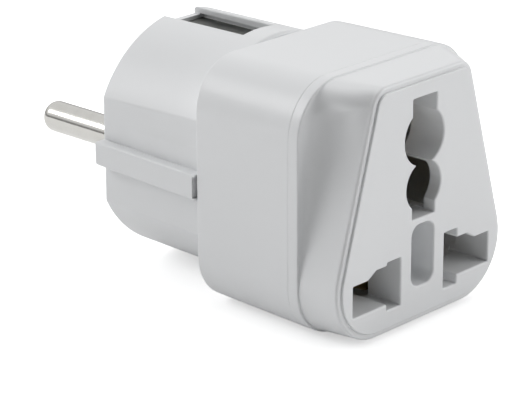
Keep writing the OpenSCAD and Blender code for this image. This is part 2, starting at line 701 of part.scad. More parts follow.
// Clamp screw: pan head with a cross recess, holding plug, housing and front cover together
module clamp_screw() color("gray") in_place() difference() {
    turned(z = -screw_drop) {
        translate([0, screw_web - screw_l]) square([screw_d/2, screw_l]);
        translate([0, screw_web]) square([head_d/2 - head_h/3, head_h]);
        translate([0, screw_web]) square([head_d/2, head_h*2/3]);
        intersection() {
            translate([head_d/2 - head_h/3, screw_web + head_h*2/3]) circle(head_h/3);
            translate([0, screw_web]) square([head_d/2, head_h]);
        }
    }
    for (turn = [0, 90]) translate([0, screw_web + head_h, -screw_drop]) rotate([0, turn, 0])
        cube([cross_l, head_h*1.2, cross_w], center = true);
}

front_cover();
rear_housing();
plug_base();
contact_carrier();
live_contact();
neutral_contact();
earth_contact();
live_pin();
neutral_pin();
earth_strap();
earth_sleeve();
clamp_screw();
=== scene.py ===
import math

import bmesh
import bpy
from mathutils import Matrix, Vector


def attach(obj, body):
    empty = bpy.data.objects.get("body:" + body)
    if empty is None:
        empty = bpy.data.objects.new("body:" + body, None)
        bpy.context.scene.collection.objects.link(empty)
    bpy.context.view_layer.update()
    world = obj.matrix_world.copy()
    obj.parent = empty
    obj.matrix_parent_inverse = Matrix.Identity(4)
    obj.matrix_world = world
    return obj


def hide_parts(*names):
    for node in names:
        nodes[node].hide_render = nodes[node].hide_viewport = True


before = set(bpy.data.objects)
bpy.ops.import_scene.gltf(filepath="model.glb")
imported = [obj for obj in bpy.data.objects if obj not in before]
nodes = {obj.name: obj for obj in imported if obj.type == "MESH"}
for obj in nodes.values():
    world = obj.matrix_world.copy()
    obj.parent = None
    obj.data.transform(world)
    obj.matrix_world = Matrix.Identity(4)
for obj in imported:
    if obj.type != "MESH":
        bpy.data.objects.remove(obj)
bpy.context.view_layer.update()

scene = bpy.context.scene
scene.view_settings.view_transform = "Standard"

# Camera: a long lens that looks down on the socket face's left-hand corner, with the plug behind.
# Its place, turn and lens were worked out from the photograph against the sizes of a standard plug.
mm = 0.001
camera_spot = Vector((-254.2, -241.8, 138.8)) * mm
camera_azimuth = math.radians(-46.665)
camera_elevation = math.radians(20.233)
camera_roll = math.radians(-0.265)
sensor_mm, lens_mm = 36, 172.1
view_near, view_far = 0.01, 10
camera = bpy.data.objects.new("camera", bpy.data.cameras.new("camera"))
camera.data.sensor_width = sensor_mm
camera.data.lens = lens_mm
camera.data.clip_start = view_near
camera.data.clip_end = view_far
camera.location = camera_spot
camera.rotation_euler = (math.pi / 2 - camera_elevation, 0, camera_azimuth)
camera.rotation_euler.rotate_axis("Z", camera_roll)
scene.collection.objects.link(camera)
scene.camera = camera


# Studio: a white sweep under and behind the object, in a pale room that is dim on the camera's side.
# Soft boxes stand overhead, to the front right and to the back left, so that what faces the camera is darker.
# Glossy surfaces see the room fall off towards the floor, and only the camera sees the sweep's own glow.
def plain_mesh(name, points, faces):
    mesh = bpy.data.meshes.new(name)
    mesh.from_pydata(points, [], faces)
    obj = bpy.data.objects.new(name, mesh)
    scene.collection.objects.link(obj)
    return obj


floor_reach, floor_z = 3.0, -0.02 * mm
pure_white, sweep_white, sweep_roughness, sweep_glow = (1, 1, 1, 1), (0.95, 0.95, 0.95, 1), 0.9, 0.5
floor = plain_mesh("floor", [(x * floor_reach, y * floor_reach, floor_z)
                             for x, y in ((-1, -1), (1, -1), (1, 1), (-1, 1))], [(0, 1, 2, 3)])
floor_paint = bpy.data.materials.new("white_sweep")
floor_paint.use_nodes = True
floor_tree = floor_paint.node_tree
floor_shader = floor_tree.nodes["Principled BSDF"]
floor_shader.inputs["Base Color"].default_value = sweep_white
floor_shader.inputs["Roughness"].default_value = sweep_roughness
floor_shader.inputs["Specular IOR Level"].default_value = 0.0
floor_shader.inputs["Emission Color"].default_value = pure_white
floor_seen = floor_tree.nodes.new("ShaderNodeLightPath")
floor_glow = floor_tree.nodes.new("ShaderNodeMath")
floor_glow.operation = "MULTIPLY"
floor_glow.inputs[1].default_value = sweep_glow
floor_tree.links.new(floor_seen.outputs["Is Camera Ray"], floor_glow.inputs[0])
floor_tree.links.new(floor_glow.outputs[0], floor_shader.inputs["Emission Strength"])
floor.data.materials.append(floor_paint)

world = bpy.data.worlds.new("studio")
world.use_nodes = True
world_tree = world.node_tree
world_light = world_tree.nodes["Background"]
world_light.inputs["Color"].default_value = pure_white
dim_side = Vector((-0.72, -0.64, 0.28)).normalized()
dim_level, room_level, seen_level = 0.0, 0.8, 1
dim_edge, dim_core = 0.1, 0.8
skirt_bottom, skirt_top, skirt_low, skirt_high = 0.04, 0.24, 0.12, 0.95
room_spot = world_tree.nodes.new("ShaderNodeTexCoord")
room_seen = world_tree.nodes.new("ShaderNodeLightPath")
room_dot = world_tree.nodes.new("ShaderNodeVectorMath")
room_dot.operation = "DOT_PRODUCT"
room_dot.inputs[1].default_value = dim_side
room_axes = world_tree.nodes.new("ShaderNodeSeparateXYZ")
room_ramp, room_skirt = (world_tree.nodes.new("ShaderNodeMapRange") for _ in range(2))
room_ramp.interpolation_type = "SMOOTHSTEP"
for ramp, levels in ((room_ramp, (dim_edge, dim_core, room_level, dim_level)),
                     (room_skirt, (skirt_bottom, skirt_top, skirt_low, skirt_high))):
    for key, level in zip(("From Min", "From Max", "To Min", "To Max"), levels):
        ramp.inputs[key].default_value = level
room_clear, room_shine = (world_tree.nodes.new("ShaderNodeMath") for _ in range(2))
room_clear.operation = "MAXIMUM"
room_shine.operation = "MULTIPLY"
room_gloss, room_mix = (world_tree.nodes.new("ShaderNodeMix") for _ in range(2))
room_mix.inputs["B"].default_value = seen_level
for source, target in (
        (room_spot.outputs["Generated"], room_dot.inputs[0]), (room_dot.outputs["Value"], room_ramp.inputs["Value"]),
        (room_spot.outputs["Generated"], room_axes.inputs[0]), (room_axes.outputs["Z"], room_skirt.inputs["Value"]),
        (room_skirt.outputs["Result"], room_shine.inputs[0]), (room_ramp.outputs["Result"], room_shine.inputs[1]),
        (room_seen.outputs["Is Glossy Ray"], room_gloss.inputs["Factor"]),
        (room_ramp.outputs["Result"], room_gloss.inputs["A"]), (room_shine.outputs[0], room_gloss.inputs["B"]),
        (room_seen.outputs["Is Camera Ray"], room_clear.inputs[0]),
        (room_seen.outputs["Is Transmission Ray"], room_clear.inputs[1]),
        (room_clear.outputs[0], room_mix.inputs["Factor"]), (room_gloss.outputs["Result"], room_mix.inputs["A"]),
        (room_mix.outputs["Result"], world_light.inputs["Strength"])):
    world_tree.links.new(source, target)
scene.world = world


box_aim = Vector((0, 0, 0.02))


def soft_box(name, spot, size, power):
    lamp = bpy.data.lights.new(name, "AREA")
    lamp.shape = "SQUARE"
    lamp.size = size
    lamp.energy = power
    obj = bpy.data.objects.new(name, lamp)
    obj.location = spot
    obj.rotation_euler = (box_aim - obj.location).to_track_quat("-Z", "Y").to_euler()
    scene.collection.objects.link(obj)


soft_box("box_overhead", spot=Vector((0.10, 0.10, 0.80)), size=0.60, power=1.4)
soft_box("box_front_right", spot=Vector((0.62, -0.62, 0.25)), size=0.50, power=2.65)
soft_box("box_back_left", spot=Vector((-0.55, 0.50, 0.60)), size=0.50, power=2.5)

# Rear housing: an injection-moulded box of glossy cool-white plastic, open at the front, drafted towards the plug.
# It carries every other piece, and the front cover closes it along a softly broken parting line.
block_w, block_h, block_r = 36.4, 37.7, 8.0
housing_l, draft, housing_wall, rear_wall = 18.2, 0.4, 1.9, 2.6
edge_r, line_r = 0.45, 0.07
plug_l, pin_l, boss_l, rim_l = 20.8, 19.0, 7.4, 1.8
total_l = housing_l + rim_l + boss_l + plug_l + pin_l
back_y = total_l / 2 - plug_l - pin_l
parting_y = -housing_l
flat_steps, arc_steps, side_steps, corner_steps, draft_steps, cavity_steps = 6, 18, 22, 6, 6, 10
skin_gap, seam_gap = 0.004, 0.002
over = 1


# Millimetres from the middle of the block's back become metres in the shared frame.
def placed(x, y, z):
    return Vector((x, back_y + y, block_h / 2 + z)) * mm


# Two corner circles and the straight edge that touches both: left half of an outline, from top middle to bottom.
def half_outline(top, top_r, low, low_r):
    gap = math.hypot(low[0] - top[0], low[1] - top[1])
    lean = math.atan((top[0] - low[0]) / (top[1] - low[1])) + math.asin((low_r - top_r) / gap)
    turn = math.pi - lean
    down = math.pi * 3 / 2

    def on(centre, radius, angle):
        return centre[0] + radius * math.cos(angle), centre[1] + radius * math.sin(angle)

    start, end = on(top, top_r, turn), on(low, low_r, turn)
    points = [(top[0] * i / flat_steps, top[1] + top_r) for i in range(flat_steps)]
    points += [on(top, top_r, math.pi / 2 + (turn - math.pi / 2) * i / arc_steps) for i in range(arc_steps + 1)]
    for i in range(1, side_steps):
        share = i / side_steps
        points.append((start[0] + (end[0] - start[0]) * share, start[1] + (end[1] - start[1]) * share))
    points += [on(low, low_r, turn + (down - turn) * i / arc_steps) for i in range(arc_steps + 1)]
    points += [(low[0] * (1 - i / flat_steps), low[1] - low_r) for i in range(1, flat_steps + 1)]
    return points


def both_halves(half):
    return list(half) + [(-p[0], *p[1:]) for p in half[-2:0:-1]]


def ring_at(half, y):
    return [(x, y, z) for x, z in both_halves(half)]


def block_half(inset):
    x, z = block_r - block_w / 2, block_h / 2 - block_r
    return half_outline((x, z), block_r - inset, (x, -z), block_r - inset)


# A closed skin through rings of equal count; the first and the last ring are closed flat.
def skin(name, rings):
    count = len(rings[0])
    points = [placed(*p) for ring in rings for p in ring]
    faces = []
    for k in range(len(rings) - 1):
        for i in range(count):
            j = (i + 1) % count
            faces.append((k * count + i, (k + 1) * count + i, (k + 1) * count + j, k * count + j))
    faces.append(tuple(range(count)))
    faces.append(tuple(range(len(points) - 1, len(points) - count - 1, -1)))
    piece = plain_mesh(name, points, faces)
    form = bmesh.new()
    form.from_mesh(piece.data)
    bmesh.ops.remove_doubles(form, verts=form.verts, dist=skin_gap * mm)
    bmesh.ops.recalc_face_normals(form, faces=form.faces)
    form.to_mesh(piece.data)
    form.free()
    return piece


# The tools are used up one after the other as they shape the piece.
def combine(piece, tools, operation):
    for tool in tools:
        step = piece.modifiers.new("join", "BOOLEAN")
        step.operation = operation
        step.solver = "EXACT"
        step.object = tool
        shaped = bpy.data.meshes.new_from_object(piece.evaluated_get(bpy.context.evaluated_depsgraph_get()))
        piece.modifiers.clear()
        old = piece.data
        piece.data = shaped
        bpy.data.meshes.remove(old)
        bpy.data.objects.remove(tool)


def cut(piece, *tools):
    combine(piece, tools, "DIFFERENCE")


def weld(piece, *tools):
    combine(piece, tools, "UNION")


# A straight prism along the depth from an outline in width and height.
def bar(outline, from_y, to_y):
    return skin("bar", [[(x, y, z) for x, z in outline] for y in (from_y, to_y)])


def box_outline(x0, x1, z0, z1):
    return [(x0, z0), (x1, z0), (x1, z1), (x0, z1)]


def round_outline(radius, x=0.0, z=0.0, steps=64):
    return [(x + radius * math.cos(math.tau * i / steps), z + radius * math.sin(math.tau * i / steps))
            for i in range(steps)]


# Every corner of a counter-clockwise outline drawn round; corners that point inwards may have their own radius.
def softened(points, outer_r, steps=corner_steps, inner_r=None):
    result = []
    for i, corner in enumerate(points):
        before, here, after = Vector(points[i - 1]), Vector(corner), Vector(points[(i + 1) % len(points)])
        to_before, to_after = (before - here).normalized(), (after - here).normalized()
        radius = inner_r if inner_r and to_before.cross(to_after) > 0 else outer_r
        half = to_before.angle(to_after) / 2
        reach = radius / math.tan(half)
        centre = here + (to_before + to_after).normalized() * (radius / math.sin(half))
        start, end = here + to_before * reach - centre, here + to_after * reach - centre
        swing = start.angle_signed(end)
        for k in range(steps + 1):
            turn = -swing * k / steps
            result.append((centre[0] + start[0] * math.cos(turn) - start[1] * math.sin(turn),
                           centre[1] + start[0] * math.sin(turn) + start[1] * math.cos(turn)))
    return result


# Moulded pieces shade smoothly over their rounded edges, while broad flats stay flat.
crease_angle, flat_weight = 38, 60


def finish_mesh(piece, name, paint):
    piece.name = name
    piece.data.name = name
    form = bmesh.new()
    form.from_mesh(piece.data)
    bmesh.ops.remove_doubles(form, verts=form.verts, dist=seam_gap * mm)
    bmesh.ops.dissolve_degenerate(form, edges=form.edges, dist=seam_gap * mm)
    form.to_mesh(piece.data)
    form.free()
    piece.data.shade_smooth()
    piece.data.set_sharp_from_angle(angle=math.radians(crease_angle))
    even = piece.modifiers.new("even", "WEIGHTED_NORMAL")
    even.keep_sharp = True
    even.weight = flat_weight
    shaped = bpy.data.meshes.new_from_object(piece.evaluated_get(bpy.context.evaluated_depsgraph_get()))
    piece.modifiers.clear()
    piece.data = shaped
    piece.data.materials.clear()
    piece.data.materials.append(paint)
    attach(piece, "root")


# A shared effect starts with its named inputs, and puts out a colour, a roughness and a height.
def effect_group(name, *givens):
    group = bpy.data.node_groups.new(name, "ShaderNodeTree")
    for given, kind, value in givens:
        group.interface.new_socket(name=given, in_out="INPUT", socket_type="NodeSocket" + kind).default_value = value
    for made, kind in (("Colour", "Color"), ("Roughness", "Float"), ("Height", "Float")):
        group.interface.new_socket(name=made, in_out="OUTPUT", socket_type="NodeSocket" + kind)
    return group, group.nodes.new("NodeGroupInput").outputs, group.nodes.new("NodeGroupOutput").inputs


def noise_of(group, vector, scale, detail):
    noise = group.nodes.new("ShaderNodeTexNoise")
    noise.inputs["Scale"].default_value = scale
    noise.inputs["Detail"].default_value = detail
    group.links.new(vector, noise.inputs["Vector"])
    return noise.outputs["Fac"]


# Noise centred on zero, times an amount, plus a base that is a number or another output.
def swayed(group, noise, amount, base):
    centred, result = (group.nodes.new("ShaderNodeMath") for _ in range(2))
    centred.operation = "SUBTRACT"
    centred.inputs[1].default_value = 0.5
    result.operation = "MULTIPLY_ADD"
    group.links.new(noise, centred.inputs[0])
    group.links.new(centred.outputs[0], result.inputs[0])
    group.links.new(amount, result.inputs[1])
    if isinstance(base, (int, float)):
        result.inputs[2].default_value = base
    else:
        group.links.new(base, result.inputs[2])
    return result.outputs[0]


# Moulded plastic's skin: faint flow clouds in the colour, uneven gloss, and a very fine orange peel.
cloud_scale, haze_scale, peel_scale = 55, 240, 1400


def moulded_skin_group():
    group, given, made = effect_group(
        "moulded_skin", ("Colour", "Color", (0.8, 0.8, 0.8, 1)), ("Clouds", "Float", 0.02), ("Gloss", "Float", 0.3),
        ("Unevenness", "Float", 0.08), ("Peel", "Float", 0.5))
    link = group.links.new
    spot = group.nodes.new("ShaderNodeTexCoord").outputs["Object"]
    clouds = noise_of(group, spot, cloud_scale, 3)
    haze = noise_of(group, spot, haze_scale, 4)
    peel = noise_of(group, spot, peel_scale, 2)
    tinted = group.nodes.new("ShaderNodeVectorMath")
    tinted.operation = "SCALE"
    link(given["Colour"], tinted.inputs[0])
    link(swayed(group, clouds, given["Clouds"], 1), tinted.inputs["Scale"])
    link(tinted.outputs[0], made["Colour"])
    link(swayed(group, haze, given["Unevenness"], given["Gloss"]), made["Roughness"])
    height = group.nodes.new("ShaderNodeMath")
    height.operation = "MULTIPLY"
    link(peel, height.inputs[0])
    link(given["Peel"], height.inputs[1])
    link(height.outputs[0], made["Height"])
    return group


# A material whose colour, roughness and bump come from one of the shared groups.
def surfaced(name, group, values, bump_depth, metallic=0.0):
    paint = bpy.data.materials.new(name)
    paint.use_nodes = True
    tree = paint.node_tree
    shader = tree.nodes["Principled BSDF"]
    shader.inputs["Metallic"].default_value = metallic
    effect = tree.nodes.new("ShaderNodeGroup")
    effect.node_tree = group
    for key, value in values.items():
        effect.inputs[key].default_value = value
    relief = tree.nodes.new("ShaderNodeBump")
    relief.inputs["Distance"].default_value = bump_depth * mm
    tree.links.new(effect.outputs["Colour"], shader.inputs["Base Color"])
    tree.links.new(effect.outputs["Roughness"], shader.inputs["Roughness"])
    tree.links.new(effect.outputs["Height"], relief.inputs["Height"])
    tree.links.new(relief.outputs["Normal"], shader.inputs["Normal"])
    return paint


moulded_skin = moulded_skin_group()
shell_white = (0.80, 0.81, 0.82, 1)
peel_depth = 0.004
housing_paint = surfaced("rear_shell_plastic", moulded_skin, {
    "Colour": shell_white, "Clouds": 0.012, "Gloss": 0.30, "Unevenness": 0.08, "Peel": 0.6}, peel_depth)


# Angles through a quarter turn, for a rounded edge.
def edge_turns(steps):
    return [math.pi / 2 * k / steps for k in range(steps + 1)]


housing = skin("rear_shell", (
    [ring_at(block_half(draft + edge_r * (1 - math.sin(t))), -edge_r * (1 - math.cos(t))) for t in edge_turns(5)]
    + [ring_at(block_half(draft * (1 - k / draft_steps)), parting_y * k / draft_steps)
       for k in range(1, draft_steps)]
    + [ring_at(block_half(line_r * (1 - math.cos(t))), parting_y + line_r * (1 - math.sin(t)))
       for t in edge_turns(3)]))
cut(housing, bar(softened(box_outline(housing_wall - block_w / 2, block_w / 2 - housing_wall,
                                      housing_wall - block_h / 2, block_h / 2 - housing_wall),
                          block_r - housing_wall, cavity_steps), parting_y - over, -rear_wall))
finish_mesh(housing, "rear_shell", housing_paint)
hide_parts("rear_housing")

# Plug body: one moulding of the same plastic, a drafted round with two flat sides, a guide rib along each flat,
# and an earth channel along its top and bottom that leaves the strap bare beside a full shoulder at the block.
plug_r, plug_draft, plug_rise, plug_flat = 18.5, 0.26, 0.4, 16.35
plug_edge_r, plug_root_r, crease_r = 0.7, 0.6, 1.0
channel_x, channel_edge_r, shoulder_l = 3.3, 0.35, 4.3
strap_w, strap_t, strap_sink, strap_cover, strap_end = 7.8, 0.8, 2.25, 1.5, 1.1
strap_z, skin_z, strap_stop = plug_r - strap_sink, plug_r - strap_cover, plug_l - strap_end
fit = 0.05
rib_low, rib_high, rib_end_low, rib_end_high = -2.25, 1.65, -1.55, 2.05
rib_x, rib_r = block_w / 2 - fit, 0.28
pad_h, pad_l, pad_t = 5.0, 14.0, 0.12
flat_parts, crease_parts, round_parts, least_crease_r = 6, 8, 36, 0.3


# Plug section round its own middle, drawn in by an inset: flats at the sides, and soft creases into the round.
def plug_section(radius, inset, y):
    r, flat = radius - inset, plug_flat - inset
    crease = max(crease_r - inset, least_crease_r)
    middle = math.sqrt((r - crease) ** 2 - (flat - crease) ** 2)
    lean = math.atan2(middle, flat - crease)
    quarter = [(flat, middle * i / flat_parts) for i in range(flat_parts)]
    for i in range(crease_parts):
        turn = lean * i / crease_parts
        quarter.append((flat - crease + crease * math.cos(turn), middle + crease * math.sin(turn)))
    for i in range(round_parts):
        turn = lean + (math.pi / 2 - lean) * i / round_parts
        quarter.append((r * math.cos(turn), r * math.sin(turn)))
    points = quarter + [(0, r)] + [(-x, z) for x, z in quarter[:0:-1]]
    points += [(-x, -z) for x, z in quarter] + [(0, -r)] + [(x, -z) for x, z in quarter[:0:-1]]
    return [(x, y, z + plug_rise) for x, z in points]


def plug_radius(y):
    return plug_r - plug_draft * min(y / (plug_l - plug_edge_r), 1)


plug_parts = 8
plug = skin("plug_shell", (
    [plug_section(plug_r, plug_root_r * (1 - math.sin(t)), plug_root_r * (1 - math.cos(t))) for t in edge_turns(4)]
    + [plug_section(plug_radius(y), 0, y)
       for y in [(plug_l - plug_edge_r) * k / plug_parts for k in range(1, plug_parts)]]
    + [plug_section(plug_r - plug_draft, plug_edge_r * (1 - math.cos(t)), plug_l - plug_edge_r * (1 - math.sin(t)))
       for t in edge_turns(6)]))
rib_root, rib_gap, rib_gap_rim, rib_end_r = 2, 0.5, 0.3, 0.5
pad_root, pad_slope_z, pad_slope_y, pad_sink_z, pad_sink_y = 1, 0.35, 0.4, 0.02, 0.01


# One guide rib with softened edges and a rounded end, tapering in height towards the plug face.
def rib_ring(side, y, shrink):
    share = y / plug_l
    low = rib_low + (rib_end_low - rib_low) * share + shrink
    high = rib_high + (rib_end_high - rib_high) * share - shrink
    outline = softened(box_outline(plug_flat - rib_root, rib_x - shrink, low, high), rib_r, 5)
    return [(side * x, y, z) for x, z in outline]


# A low pad lies over each rib. It slopes down into the flat above and towards the plug face.
def pad_ring(side, y, reach):
    outline = ((-pad_root, 0), (reach, 0), (reach, pad_h - pad_slope_z), (-pad_sink_z, pad_h), (-pad_root, pad_h))
    return [(side * (plug_flat + x), y, z) for x, z in outline]


for side in (-1, 1):
    rib = skin("rib", [rib_ring(side, plug_l * k / plug_parts, 0) for k in range(plug_parts)]
               + [rib_ring(side, plug_l - rib_end_r * (1 - math.sin(t)), rib_end_r * (1 - math.cos(t)))
                  for t in edge_turns(5)])
    gap = box_outline(plug_flat, block_w, rib_low + rib_gap_rim, rib_high - rib_gap_rim)
    cut(rib, bar([(side * x, z) for x, z in gap], -over, rib_gap))
    pad = skin("pad", [pad_ring(side, y, reach) for y, reach in (
        (0, pad_t), (pad_l - pad_slope_y, pad_t), (pad_l, -pad_sink_y))])
    weld(plug, rib, pad)


# Rounding of an opening's rim: how far the outline grows, and how deep it lies below the surface, at each turn.
def rim_turns(radius, steps=5):
    return [(radius * (1 - math.sin(t)), radius * (1 - math.cos(t))) for t in reversed(edge_turns(steps))]


# An outline grown by a distance all round; a very sharp corner grows no further than the limit lets it.
sharpest_miter = 0.3


def grown(outline, distance):
    result = []
    for i, point in enumerate(outline):
        before, here, after = Vector(outline[i - 1]), Vector(point), Vector(outline[(i + 1) % len(outline)])
        first, second = (here - before).normalized(), (after - here).normalized()
        out = Vector((first.y + second.y, -first.x - second.x)).normalized()
        result.append(tuple(here + out * distance / max(out.dot(Vector((first.y, -first.x))), sharpest_miter)))
    return result


# Height of the plug's round surface above its middle.
def crown(x, y):
    return math.sqrt(plug_radius(y) ** 2 - x * x)


def channel_slot(up, half_width, low, high, from_y):
    heights = sorted((plug_rise + up * low, plug_rise + up * high))
    return bar(box_outline(-half_width, half_width, *heights), from_y, strap_stop)


window_parts, window_lap, window_past, slot_lap, clear = 24, 0.2, 3, 0.3, 2
corners = [Vector(p) for p in ((-channel_x, shoulder_l), (channel_x, shoulder_l),
                               (channel_x, plug_l + window_past), (-channel_x, plug_l + window_past))]
window = [tuple(corners[k].lerp(corners[(k + 1) % 4], i / window_parts))
          for k in range(4) for i in range(window_parts)]
strap_room = strap_w / 2 + fit
for up in (1, -1):
    rings = [[(x, y, plug_rise + up * (skin_z - window_lap)) for x, y in window]]
    rings += [[(x, y, plug_rise + up * (crown(x, y) - depth)) for x, y in grown(window, growth)]
              for growth, depth in rim_turns(channel_edge_r)]
    rings += [[(x, y, plug_rise + up * (plug_r + clear)) for x, y in grown(window, channel_edge_r)]]
    cut(plug, skin("opening", rings), channel_slot(up, channel_x, strap_z, skin_z + slot_lap, shoulder_l),
        channel_slot(up, strap_room, strap_z, skin_z, shoulder_l),
        channel_slot(up, strap_room, strap_z - strap_t - fit, strap_z + fit, -over))

# Holes along the plug: a seat for each pin, the earth socket's seat and mouth, and the screw's hole and head well.
pin_x, pin_body_d, pin_d, pin_seat_l = 9.5, 4.4, 4.8, 0.5
sleeve_z, sleeve_seat_r, sleeve_mouth_r, sleeve_cover_t = 10.0, 3.15, 2.775, 2.2
screw_z, screw_r, screw_head_r, screw_head_y = -8.2, 1.55, 2.9, 4
for side in (-1, 1):
    cut(plug, bar(round_outline(pin_body_d / 2 + fit, side * pin_x), -over, plug_l + over),
        bar(round_outline(pin_d / 2 + fit, side * pin_x), plug_l - pin_seat_l, plug_l + over))
cut(plug, bar(round_outline(sleeve_seat_r, 0, sleeve_z), -over, plug_l - sleeve_cover_t),
    bar(round_outline(sleeve_mouth_r, 0, sleeve_z), over, plug_l + over),
    bar(round_outline(screw_r, 0, screw_z), -over, plug_l),
    bar(round_outline(screw_head_r, 0, screw_z), screw_head_y, plug_l + over))
plug_paint = surfaced("plug_shell_plastic", moulded_skin, {
    "Colour": shell_white, "Clouds": 0.012, "Gloss": 0.32, "Unevenness": 0.08, "Peel": 0.6}, peel_depth)
finish_mesh(plug, "plug_shell", plug_paint)
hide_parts("plug_base")

# Plug pins: solid brass, turned with a domed tip and nickel plated; each is riveted through the block from behind.
# Very fine turning lines run round them, and the plating is even and bright.

# Plated metal's skin: fine lines along or round the piece, faint stains in the plating, and uneven gloss.
line_scale, stain_scale, stain_from, stain_to = 6, 420, 0.42, 0.68


def plated_skin_group():
    group, given, made = effect_group(
        "plated_skin", ("Colour", "Color", (0.7, 0.7, 0.7, 1)), ("Stain", "Color", (0.5, 0.5, 0.5, 1)),
        ("Stained", "Float", 0.2), ("Lines", "Vector", (400, 20, 400)), ("Gloss", "Float", 0.25),
        ("Unevenness", "Float", 0.1))
    link = group.links.new
    spot = group.nodes.new("ShaderNodeTexCoord").outputs["Object"]
    stretched = group.nodes.new("ShaderNodeVectorMath")
    stretched.operation = "MULTIPLY"
    link(spot, stretched.inputs[0])
    link(given["Lines"], stretched.inputs[1])
    lines = noise_of(group, stretched.outputs[0], line_scale, 3)
    patch = group.nodes.new("ShaderNodeMapRange")
    patch.inputs["From Min"].default_value = stain_from
    patch.inputs["From Max"].default_value = stain_to
    link(noise_of(group, spot, stain_scale, 5), patch.inputs["Value"])
    link(given["Stained"], patch.inputs["To Max"])
    mixed = group.nodes.new("ShaderNodeMix")
    mixed.data_type = "RGBA"
    mixed_in = {socket.identifier: socket for socket in mixed.inputs}
    mixed_out = {socket.identifier: socket for socket in mixed.outputs}
    link(patch.outputs["Result"], mixed_in["Factor_Float"])
    link(given["Colour"], mixed_in["A_Color"])
    link(given["Stain"], mixed_in["B_Color"])
    link(mixed_out["Result_Color"], made["Colour"])
    link(swayed(group, lines, given["Unevenness"], given["Gloss"]), made["Roughness"])
    link(lines, made["Height"])
    return group


# A CAD node keeps its mesh, and its material slots take the paint.
def painted(paint, *names):
    for name in names:
        for place in nodes[name].material_slots:
            place.material = paint


plated_skin = plated_skin_group()
pin_paint = surfaced("bright_nickel", plated_skin, {
    "Colour": (0.74, 0.73, 0.70, 1), "Stain": (0.62, 0.60, 0.56, 1), "Stained": 0.25, "Lines": (40, 900, 40),
    "Gloss": 0.16, "Unevenness": 0.08}, bump_depth=0.0015, metallic=1.0)
painted(pin_paint, "live_pin", "neutral_pin")

# Earth strap and earth socket: the strap is one nickel-plated strip bent into a U, and the socket a turned tube.
# Rolling lines run along the strap. Its nickel is painted nearly black, as painted shade for the strap down in its
# channel, with random darker mottling; the socket takes the same paint.
strap_paint_with_painted_shade = surfaced("nickel_darkened_as_painted_shade", plated_skin, {
    "Colour": (0.20, 0.205, 0.195, 1), "Stain": (0.07, 0.075, 0.068, 1), "Stained": 0.75, "Lines": (500, 30, 500),
    "Gloss": 0.42, "Unevenness": 0.2}, bump_depth=0.004, metallic=1.0)
painted(strap_paint_with_painted_shade, "earth_strap", "earth_sleeve")

# Contact carrier: a moulded plate of matt grey-white plastic that keeps the three contacts apart.
# It lies on the housing's rear wall and holds each contact in its place.
carrier_paint = surfaced("carrier_plastic", moulded_skin, {
    "Colour": (0.72, 0.73, 0.73, 1), "Clouds": 0.04, "Gloss": 0.55, "Unevenness": 0.1, "Peel": 1.0}, bump_depth=0.01)
painted(carrier_paint, "contact_carrier")

# Contacts: stamped from brass strip and bent into pairs of spring leaves, with rolling lines along the strip.
# The live and neutral ones stand behind the two lower openings, the earth one behind the keyhole-shaped ones.
brass_paint = surfaced("rolled_brass", plated_skin, {
    "Colour": (0.62, 0.50, 0.28, 1), "Stain": (0.42, 0.32, 0.18, 1), "Stained": 0.35, "Lines": (600, 40, 600),
    "Gloss": 0.30, "Unevenness": 0.15}, bump_depth=0.004, metallic=1.0)
painted(brass_paint, "live_contact", "neutral_contact", "earth_contact")

# Clamp screw: a zinc-plated steel pan-head screw, its head in a well of the plug's face.
# It is driven through plug and housing into the front cover, and so holds the whole shell together.
screw_paint = surfaced("zinc_plate", plated_skin, {
    "Colour": (0.55, 0.56, 0.57, 1), "Stain": (0.42, 0.43, 0.42, 1), "Stained": 0.4, "Lines": (300, 300, 300),
    "Gloss": 0.34, "Unevenness": 0.12}, bump_depth=0.004, metallic=1.0)
painted(screw_paint, "clamp_screw")

# Front cover: the same plastic in one moulding: a band, a boss with finger scoops down both sides, and the face.
# A small step runs round the face; its openings have softened rims, with wells behind them that reach inside.
face_top_r, face_bottom_r, face_margin, face_step = 2.0, 7.6, 0.9, 0.35
face_top_half, face_bottom_half, face_half_h = 10.0, 17.1, 17.4
face_t, boss_wall, well_l, well_wall, blind_l = 2.0, 1.5, 6.0, 1.2, 5.6
scoop_sharpness, scoop_lean = 0.55, 0.3
scoop_steps, scoop_onset, scoop_slant = 44, 1.5, 1.17
valley_top_z, valley_fall_z, valley_top_power, valley_low_power = 14.0, 24.0, 0.52, 1.2
rim_y = parting_y - rim_l
face_y = rim_y - boss_l
shelf_y = face_y + face_step
well_y = face_y + well_l
foot_inset = edge_r / 2


def face_half(grow):
    return half_outline((face_top_r - face_top_half, face_half_h - face_top_r), face_top_r + grow,
                        (face_bottom_r - face_bottom_half, face_bottom_r - face_half_h), face_bottom_r + grow)


def ease(share):
    u = min(1, max(0, share))
    return u * u * (3 - 2 * u)


# Share of the scoop at a point of the half outline: none along the top, all down the side, none below.
# Towards the face it starts lower, so that its upper limit slants across the flank.
def scoop_share(i, depth):
    if i < flat_steps + arc_steps + side_steps / 2:
        return ease(scoop_onset * (i - flat_steps) / arc_steps - scoop_slant * depth)
    return 1 - ease((i - flat_steps - arc_steps - side_steps) / arc_steps)


